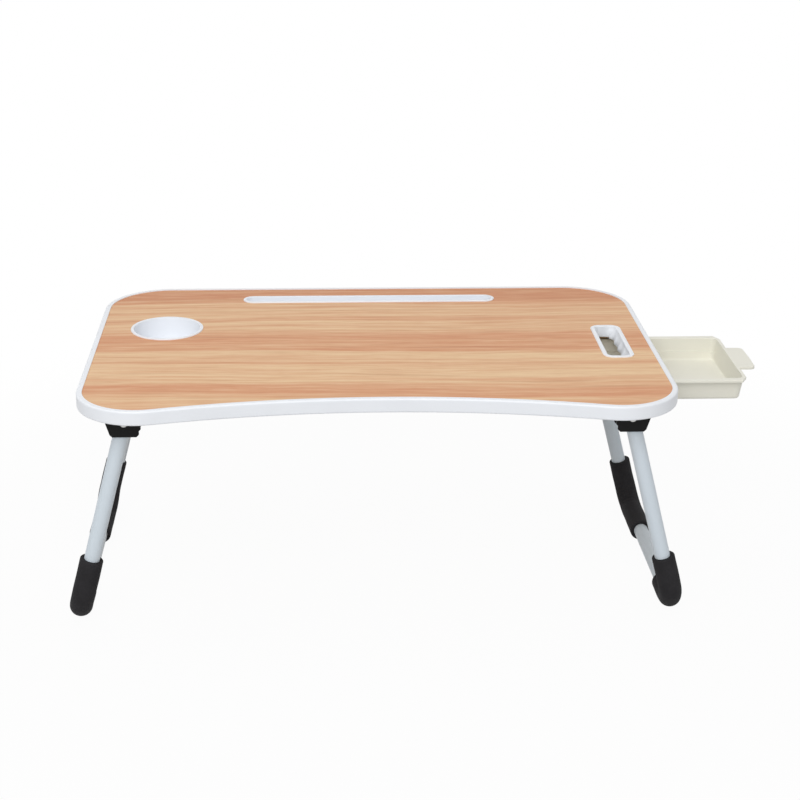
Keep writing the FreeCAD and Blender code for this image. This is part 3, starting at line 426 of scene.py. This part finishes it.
def fibreboard(looks, rough=0.75):
    """Raw pressed fibre: mottled brown with pale and dark flecks."""
    material, shader, place = surface("fibreboard", Specular_IOR_Level=0.2)
    fleck = place.stretched(1, 1, 3).noise(scale=900, detail=3, roughness=0.7)
    cloud = place.noise(scale=60, detail=2, roughness=0.5)
    tone = (fleck * 0.7 + cloud * 0.3).between(zero=0.3, one=0.7)
    link(shader, Base_Color=tone.blend(looks.dark, looks.pale), Roughness=rough + fleck * 0.2,
         Normal=fleck.bump(strength=0.5, distance=0.2 * MM))
    return material


def backing_sheet(looks, rough=0.55):
    """Plain brown backing paper: fine fibres, soft clouds, dark flecks and a dull gloss."""
    material, shader, place = surface("backing_sheet", Specular_IOR_Level=0.25)
    fibre = place.grain(along=300, across=900, detail=2, roughness=0.6)
    cloud = place.noise(scale=25, detail=3, roughness=0.5)
    fleck = place.stretched(1, 2.5, 1).noise(scale=420, detail=1, roughness=0.4).between(zero=0.66, one=0.74)
    tone = (fibre * 0.5 + cloud * 0.5).between(zero=0.35, one=0.7)
    paper = tone.blend(looks.shade, looks.paper)
    link(shader, Base_Color=fleck.blend(paper, looks.fleck, strength=0.35), Roughness=rough + fibre * 0.2,
         Normal=fibre.bump(strength=0.15, distance=0.06 * MM))
    return material


def powder_coat(looks, rough=0.42):
    """Powder-coated tube: soft orange peel and specks."""
    material, shader, place = surface("painted_tube", Specular_IOR_Level=0.45)
    peel = place.noise(scale=1 / looks.peel, detail=2, roughness=0.5)
    speck = place.noise(scale=3600, detail=1, roughness=0.4)
    dark = speck.between(zero=0.55, one=0.72)
    link(shader, Base_Color=dark.blend(looks.paint, times(looks.paint, brightness=0.9)),
         Roughness=rough + peel.swing(size=0.15),
         Normal=(peel * 0.7 + speck * 0.3).bump(strength=0.12, distance=0.12 * MM))
    return material


def zinc_plate(looks, rough=0.26):
    """Bright zinc plate with fine turning marks and dull patches."""
    material, shader, place = surface("plated_steel", Metallic=1.0)
    mark = place.stretched(1, 1, 6).noise(scale=700, detail=2, roughness=0.5)
    patch = place.noise(scale=180, detail=2, roughness=0.5)
    link(shader, Base_Color=patch.blend(looks.zinc, times(looks.zinc, brightness=0.8)),
         Roughness=rough + patch * 0.18, Normal=mark.bump(strength=0.1, distance=0.05 * MM))
    return material


def foam(looks, rough=0.78):
    """Closed foam: matte charcoal with fine cells, painted shade in its pits and rubbed, slightly paler
    patches.
    """
    material, shader, place = surface("foam", Specular_IOR_Level=0.12)
    cells = place.node("ShaderNodeTexVoronoi", {"feature": "F1"}, {"Vector": place, "Scale": 1 / looks.cell})
    grain = place.noise(scale=2 / looks.cell, detail=2, roughness=0.6)
    cloud = place.noise(scale=45, detail=3, roughness=0.55)
    # Painted shade: the foam's pits, which the bump below dents, are darkened where shade would fall in them
    painted_pit_shade = (grain * 0.6 + cells * 0.4).between(zero=0.52, one=0.34)
    wear = grain.swing(size=0.6) + cloud.between(zero=0.35, one=0.75) * 0.8
    rubbed = wear.blend(looks.colour, times(looks.colour, brightness=1.45))
    link(shader, Base_Color=painted_pit_shade.blend(rubbed, times(looks.colour, brightness=0.55), strength=0.7),
         Roughness=rough + grain.swing(size=0.2),
         Normal=(cells * 0.6 + grain * 0.8).bump(strength=0.8, distance=0.35 * MM))
    return material


def dress(material, *names):
    """Give CAD nodes a finish."""
    for name in names:
        NODES[name].material_slots[0].material = material


def smooth_step(x):
    """0 below 0, 1 above 1 and between them the cubic of three squares less two cubes."""
    x = np.clip(x, 0, 1)
    return x ** 2 * (3 - 2 * x)


def closed_grid(name, points, material):
    """Mesh object of a grid of points that closes on itself both ways, with its faces pointing outwards.

    Each face's middle times the cross product of its diagonals adds up to six times the volume, which comes
    out negative when the faces point inwards.
    """
    rows, columns = points.shape[:2]
    index = np.arange(rows * columns).reshape(rows, columns)
    after = np.roll(index, -1, 0)
    faces = np.stack([index, np.roll(index, -1, 1), np.roll(after, -1, 1), after], -1).reshape(-1, 4)
    flat = points.reshape(-1, 3)
    corners = flat[faces]
    turn = np.cross(corners[:, 2] - corners[:, 0], corners[:, 3] - corners[:, 1])
    if np.sum(corners.mean(1) * turn) < 0:
        faces = faces[:, ::-1]
    mesh = bpy.data.meshes.new(name)
    mesh.from_pydata(flat.tolist(), [], faces.tolist())
    mesh.polygons.foreach_set("use_smooth", np.ones(len(mesh.polygons), bool))
    mesh.materials.append(material)
    mesh.update()
    made = bpy.data.objects.new(name, mesh)
    bpy.context.scene.collection.objects.link(made)
    return made


def opening_path(half_x, half_y, radius, count):
    """Points round a rectangle with quarter circles at its corners.

    Returns the middles of the turning circles and the outward directions. On a straight side the middle
    slides from one corner to the next, and on a corner it stays while the direction turns.
    """
    slide_x, slide_y = half_x - radius, half_y - radius
    quarter = radius * QUARTER_TURN
    knots = np.cumsum([0] + 2 * [2 * slide_y, quarter, 2 * slide_x, quarter])
    s = np.linspace(0, knots[-1], count, endpoint=False)
    middle_x = np.interp(s, knots, slide_x * np.array((1, 1, 1, -1, -1, -1, -1, 1, 1)))
    middle_y = np.interp(s, knots, slide_y * np.array((-1, 1, 1, 1, 1, -1, -1, -1, -1)))
    turn = np.interp(s, knots, QUARTER_TURN * np.array((0, 0, 1, 1, 2, 2, 3, 3, 4)))
    return np.stack([middle_x, middle_y], -1), np.stack([np.cos(turn), np.sin(turn)], -1)


def grip_profile(looks, drop):
    """Closed outline of the grip's wall as distances out from the opening and up from the laminate.

    It runs up the rim's outer side, over the rim, down the inside, round the lower edge and up to the rim's
    underside. Quarter circles round the rim, and a half circle the lower edge. The third list is 1 on the
    inside, falling to 0 round the lower edge.
    """
    rim, flange, edge, lip = looks.rim, looks.flange, looks.edge, looks.lip
    toe = looks.wall / 2
    turn = np.linspace(0, QUARTER_TURN, RIM_TURN)
    half = np.linspace(0, 2 * QUARTER_TURN, TOE_TURN)
    depths = np.linspace(flange - lip, toe - drop, GRIP_INSIDE)[1:-1]
    outside = np.linspace(toe - drop, 0, GRIP_OUTSIDE)[1:]
    out = np.concatenate([
        (rim, rim), rim - edge + edge * np.cos(turn), lip - lip * np.sin(turn), 0 * depths,
        toe - toe * np.cos(half), 0 * outside + looks.wall])
    up = np.concatenate([
        (0, edge * RIM_FOOT), flange - edge + edge * np.sin(turn), flange - lip + lip * np.cos(turn), depths,
        toe - drop - toe * np.sin(half), outside])
    inside = np.concatenate([
        np.zeros(2 + len(turn)), np.ones(len(turn) + len(depths)), (1 + np.cos(half)) / 2, 0 * outside])
    return out, up, inside


def grip_surface(looks):
    """Points of the hand grip.

    The wall's outline is carried round the opening. Towards the table's outer side the inside moves in with
    depth by a smooth step: the corners onto larger circles, and the side as far as the finger rest, less a
    hollow for each finger that follows a power of a sine.
    """
    low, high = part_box("hand_grip")
    laminate = high.z - looks.flange
    drop = laminate - low.z
    half_x, half_y = (high.x - low.x) / 2 - looks.rim, (high.y - low.y) / 2 - looks.rim
    middle, way = opening_path(half_x, half_y, looks.corner, GRIP_ROUND)
    out, up, inside = grip_profile(looks, drop)
    edge = middle + looks.corner * way
    hollow = np.abs(np.sin(math.pi * edge[:, 1] / looks.pitch)) ** HOLLOW_POWER
    lean = (looks.rest - looks.dip * hollow) * np.maximum(way[:, 0], 0) ** 2
    centre = np.stack([0 * lean + half_x - looks.throat, np.sign(edge[:, 1]) * (half_y - looks.throat)], -1)
    spoke = edge - centre
    in_corner = (spoke[:, 0] > 0) & (spoke[:, 1] * edge[:, 1] > 0)
    circle = centre + spoke * looks.throat / np.linalg.norm(spoke, axis=1)[:, None]
    moved = np.where(in_corner[:, None], circle, edge) - edge - lean[:, None] * way
    step = inside * smooth_step((looks.flange - up) / (LEAN_DEPTH * (looks.flange + drop)))
    flat = middle[:, None] + (looks.corner + out)[:, None] * way[:, None] + step[:, None] * moved[:, None]
    flat += np.array(((low.x + high.x) / 2, (low.y + high.y) / 2))
    heights = np.broadcast_to(laminate + up, flat.shape[:2])
    return np.concatenate([flat, heights[..., None]], -1)


def sleeve_profile(bore, outer, rounding, long):
    """Closed outline of a sleeve's wall as distances along the tube and from its middle.

    It runs along the outside, round both outer ends by quarter circles, and back through the bore.
    """
    turn = np.linspace(0, QUARTER_TURN, END_TURN)
    outside = np.linspace(rounding, long - rounding, SLEEVE_OUTSIDE)[1:-1]
    inside = np.linspace(long, 0, SLEEVE_BORE)
    along = np.concatenate([
        rounding - rounding * np.cos(turn), outside, long - rounding + rounding * np.sin(turn), inside])
    away = np.concatenate([
        outer - rounding + rounding * np.sin(turn), np.full_like(outside, outer),
        outer - rounding + rounding * np.cos(turn), np.full_like(inside, bore)])
    return along, away


def leg_corner(place, looks):
    """Corner where the middles of an upright and the floor bar would meet inside one sleeve.

    Returns the corner, the ways up the upright and along the bar, and how far the sleeve reaches each way.
    The upright runs from the corner to the leg's pivot, and the sleeve's box gives the rest.
    """
    low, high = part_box(f"foot_sleeve_{place}")
    end, side = place.split("_")
    outer = looks.bore + looks.wall
    bar_x = low.x + outer if side == "left" else high.x - outer
    bar_z = outer - looks.sole
    if end == "front":
        upright_y = low.y + outer
        along = np.array((0, 1.0, 0))
        arm = high.y - upright_y
    else:
        upright_y = high.y - outer
        along = np.array((0, -1.0, 0))
        arm = upright_y - low.y
    pivot = JOINTS[f"{side}_leg_fold"]["pos_m"]
    upright = np.array((pivot[0] - bar_x, 0, pivot[2] - bar_z))
    up = upright / np.linalg.norm(upright)
    rise = (high.z - bar_z - outer * abs(up[0])) / up[2]
    return np.array((bar_x, upright_y, bar_z)), up, along, rise, arm


def sleeve_surface(place, looks):
    """Points of one foam sleeve.

    The wall's outline is carried along a path: down the upright, round a quarter circle and along the floor
    bar. The outside swells and dips by the mean of a few sines, and inside the bend it wrinkles by a cosine
    that fades out towards the bend's ends. Above the bar it slips outwards by a smooth step. The floor
    presses it flat: its height becomes half the sum of itself and its softened absolute value.
    """
    corner, up, along, rise, arm = leg_corner(place, looks)
    bore, bend = looks.bore, looks.bend
    outer = bore + looks.wall
    quarter = bend * QUARTER_TURN
    first = rise - bend
    s, away = sleeve_profile(bore, outer, looks.round, first + quarter + arm - bend)
    turned = np.clip((s - first) / bend, 0, QUARTER_TURN)
    heights = np.where(s < first, rise - s, bend - bend * np.sin(turned))
    reaches = bend - bend * np.cos(turned) + np.maximum(s - first - quarter, 0)
    middle = corner + heights[:, None] * up + reaches[:, None] * along
    ahead = -np.cos(turned)[:, None] * up + np.sin(turned)[:, None] * along
    sideways = np.cross(up, along)
    inward = np.cross(ahead, sideways)
    theta = np.linspace(0, FULL_TURN, SLEEVE_ROUND, endpoint=False)
    run, ring = np.meshgrid(s, theta, indexing="ij")
    swell = sum(np.sin(run * lengthwise + ring * around + start) for lengthwise, around, start in SWELLS)
    in_bend = np.exp(-(((run - first - quarter / 2) / (WRINKLED_SHARE * quarter)) ** WRINKLE_FADE))
    inner_side = np.maximum(np.sin(ring), 0) ** 2
    waves = np.cos(FULL_TURN * (run - first) / looks.wrinkle_step)
    dents = looks.dent * (swell / len(SWELLS) - 1)
    wrinkles = looks.wrinkle * in_bend * inner_side * (waves - 1) / 2
    on_outside = (away > bore + looks.wall / 2)[:, None]
    radius = away[:, None] + on_outside * (dents + wrinkles)
    points = middle[:, None] + radius[..., None] * (
        np.cos(ring)[..., None] * sideways + np.sin(ring)[..., None] * inward[:, None])
    z = points[..., 2]
    slip = getattr(looks, f"slip_{place}") * (1 if place.endswith("right") else -1)
    points[..., 0] += on_outside * slip * smooth_step((z - outer) / (SLIP_RISE * outer))
    points[..., 2] = (z + np.sqrt(z ** 2 + SOLE_SOFT ** 2)) / 2
    return points


def seen_plainly(wire):
    """One for what the camera sees, straight, mirrored or through glass, and zero for other light."""
    straight = wire.node("ShaderNodeLightPath", output="Is Camera Ray")
    return (straight + straight.sibling("Is Glossy Ray") + straight.sibling("Is Transmission Ray")).clamp()


def lay_floor(scene, looks):
    """Pale floor that keeps a faint shadow around the table and is plain white further out."""
    half = looks.floor / 2
    mesh = bpy.data.meshes.new("floor")
    mesh.from_pydata(
        [(-half, -half, 0), (half, -half, 0), (half, half, 0), (-half, half, 0)], [], [(0, 1, 2, 3)])
    floor = bpy.data.objects.new("floor", mesh)
    scene.collection.objects.link(floor)
    material = bpy.data.materials.new("floor")
    material.use_nodes = True
    tree = material.node_tree
    tree.nodes.remove(tree.nodes["Principled BSDF"])
    start = Wire(tree)
    grey = looks.bounce
    matte = start.node("ShaderNodeBsdfDiffuse", None, {"Color": (grey, grey, grey, 1)})
    glow = start.node("ShaderNodeEmission", None, {"Color": WHITE, "Strength": 1.0})
    place = start.node("ShaderNodeTexCoord", output="Object")
    distance = place.node("ShaderNodeVectorMath", {"operation": "LENGTH"}, {0: place}, output="Value")
    fade = distance.between(zero=looks.shade_near, one=looks.shade_far)
    white = seen_plainly(start) * (looks.whiteness + fade * (1 - looks.whiteness))
    mixed = start.node("ShaderNodeMixShader", None, {0: white, 1: matte, 2: glow})
    tree.links.new(mixed.socket, tree.nodes["Material Output"].inputs["Surface"])
    mesh.materials.append(material)


def light_sky(scene, looks):
    """Even light all round, with a white background for the camera."""
    world = bpy.data.worlds.new("sky")
    scene.world = world
    world.use_nodes = True
    tree = world.node_tree
    strength = looks.sky + seen_plainly(Wire(tree)) * (1 - looks.sky)
    shader = tree.nodes["Background"]
    shader.inputs["Color"].default_value = WHITE
    tree.links.new(strength.socket, shader.inputs["Strength"])


def hang_lamp(scene, name, place, size, power):
    """Square soft lamp that points at the middle of the table top."""
    lamp = bpy.data.lights.new(name, "AREA")
    lamp.shape = "SQUARE"
    lamp.size = size
    lamp.energy = power
    hung = bpy.data.objects.new(name, lamp)
    scene.collection.objects.link(hung)
    aim = (TOP_LOW + TOP_HIGH) / 2 - Vector(place)
    hung.location = place
    hung.rotation_euler = aim.to_track_quat("-Z", "Y").to_euler()


def place_camera(scene, looks):
    """Camera at the photograph's place, given from the middle of the table's upper face.

    Turn and tilt give its backward direction, and the turn alone its level one to the right. Their cross
    product points up, and the roll turns right and up about the backward direction.
    """
    turn, tilt, roll = looks.turn, looks.tilt, looks.roll
    back = np.array((math.sin(turn) * math.cos(tilt), -math.cos(turn) * math.cos(tilt), math.sin(tilt)))
    right = np.array((math.cos(turn), math.sin(turn), 0))
    up = np.cross(back, right)
    rolled_right = math.cos(roll) * right + math.sin(roll) * up
    rolled_up = math.cos(roll) * up - math.sin(roll) * right
    middle = (TOP_LOW + TOP_HIGH) / 2
    middle.z = TOP_HIGH.z
    matrix = np.eye(4)
    matrix[:3, :3] = np.stack([rolled_right, rolled_up, back], 1)
    matrix[:3, 3] = np.array(middle) + np.array(looks.eye)
    optics = bpy.data.cameras.new("camera")
    optics.lens = looks.lens
    camera = bpy.data.objects.new("camera", optics)
    scene.collection.objects.link(camera)
    camera.matrix_world = Matrix(matrix.tolist())
    scene.camera = camera


class LAPTOP_TABLE_OT_top(bpy.types.Operator):
    """Finish the laminate, the core and the sheet on the underside"""
    bl_idname = "laptop_table.top"
    bl_label = "Top"

    def execute(self, context):
        dress(wood_laminate(context.scene.table_wood), "top_laminate")
        dress(fibreboard(context.scene.table_board), "board_core")
        dress(backing_sheet(context.scene.table_paper), "underside_sheet")
        return {"FINISHED"}


class LAPTOP_TABLE_OT_inserts(bpy.types.Operator):
    """Finish the edge band, the cup holder and the tablet slot, and make the moulded hand grip"""
    bl_idname = "laptop_table.inserts"
    bl_label = "Edge band and inserts"

    def execute(self, context):
        looks = context.scene.table_plastic
        white = moulded("white_plastic", looks.white, looks.skin, rough=0.38)
        dress(white, "edge_band", "cup_holder", "tablet_slot")
        grip = closed_grid("moulded_grip", grip_surface(context.scene.table_grip), white)
        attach(grip, "table_top")
        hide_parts("hand_grip")
        return {"FINISHED"}


class LAPTOP_TABLE_OT_legs(bpy.types.Operator):
    """Finish the leg tubes, the hinge brackets, the pins and the screws"""
    bl_idname = "laptop_table.legs"
    bl_label = "Legs and hinges"

    def execute(self, context):
        plastic = context.scene.table_plastic
        metal = context.scene.table_metal
        dress(powder_coat(metal), "leg_tube_left", "leg_tube_right")
        black = moulded("black_plastic", plastic.black, plastic.skin, rough=0.52, gloss=0.16)
        dress(black, *[f"hinge_bracket_{place}" for place in PLACES])
        dress(zinc_plate(metal), "bracket_screws", "rail_screws", *[f"pivot_pin_{place}" for place in PLACES])
        return {"FINISHED"}


class LAPTOP_TABLE_OT_sleeves(bpy.types.Operator):
    """Make the foam sleeves on the legs' corners"""
    bl_idname = "laptop_table.sleeves"
    bl_label = "Foam sleeves"

    def execute(self, context):
        looks = context.scene.table_foam
        material = foam(looks)
        for place in PLACES:
            sleeve = closed_grid(f"foam_sleeve_{place}", sleeve_surface(place, looks), material)
            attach(sleeve, f"{place.split('_')[1]}_leg")
            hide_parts(f"foot_sleeve_{place}")
        return {"FINISHED"}


class LAPTOP_TABLE_OT_drawer(bpy.types.Operator):
    """Finish the drawer and its rails"""
    bl_idname = "laptop_table.drawer"
    bl_label = "Drawer"

    def execute(self, context):
        looks = context.scene.table_plastic
        ivory = moulded("ivory_plastic", looks.ivory, looks.skin, rough=0.36, gloss=0.6)
        dress(ivory, "drawer_tray")
        rail = moulded("rail_plastic", looks.rail, looks.skin, rough=0.5)
        dress(rail, "drawer_rail_front", "drawer_rail_rear")
        return {"FINISHED"}


class LAPTOP_TABLE_OT_stage(bpy.types.Operator):
    """Lay the floor, hang the lamps and place the camera"""
    bl_idname = "laptop_table.stage"
    bl_label = "Stage"

    def execute(self, context):
        scene = context.scene
        looks = scene.table_stage
        lay_floor(scene, looks)
        light_sky(scene, looks)
        hang_lamp(scene, "key_lamp", looks.key_place, looks.key_size, looks.key)
        hang_lamp(scene, "fill_lamp", looks.fill_place, looks.fill_size, looks.fill)
        place_camera(scene, looks)
        scene.view_settings.view_transform = "Standard"
        return {"FINISHED"}


GROUPS = {
    "table_wood": WoodLooks,
    "table_paper": PaperLooks,
    "table_board": BoardLooks,
    "table_plastic": PlasticLooks,
    "table_grip": GripLooks,
    "table_metal": MetalLooks,
    "table_foam": FoamLooks,
    "table_stage": StageLooks,
}
OPERATORS = (
    LAPTOP_TABLE_OT_top,
    LAPTOP_TABLE_OT_inserts,
    LAPTOP_TABLE_OT_legs,
    LAPTOP_TABLE_OT_sleeves,
    LAPTOP_TABLE_OT_drawer,
    LAPTOP_TABLE_OT_stage,
)


class VIEW3D_PT_laptop_table(bpy.types.Panel):
    """Sidebar panel with the table's looks and the operators that make them"""
    bl_label = "Laptop table"
    bl_space_type = "VIEW_3D"
    bl_region_type = "UI"
    bl_category = "Table"

    def draw(self, context):
        for name, group in GROUPS.items():
            box = self.layout.box()
            for prop in group.__annotations__:
                box.prop(getattr(context.scene, name), prop)
        for operator in OPERATORS:
            self.layout.operator(operator.bl_idname)


CLASSES = (*GROUPS.values(), *OPERATORS, VIEW3D_PT_laptop_table)


def register():
    """Register the classes and hang the groups of looks on the scene."""
    for item in CLASSES:
        bpy.utils.register_class(item)
    for name, group in GROUPS.items():
        setattr(bpy.types.Scene, name, bpy.props.PointerProperty(type=group))


def unregister():
    """Take back what register did."""
    for name in GROUPS:
        delattr(bpy.types.Scene, name)
    for item in reversed(CLASSES):
        bpy.utils.unregister_class(item)


def main():
    """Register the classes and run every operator."""
    register()
    for operator in OPERATORS:
        group, name = operator.bl_idname.split(".")
        getattr(getattr(bpy.ops, group), name)()


if __name__ == "__main__":
    main()
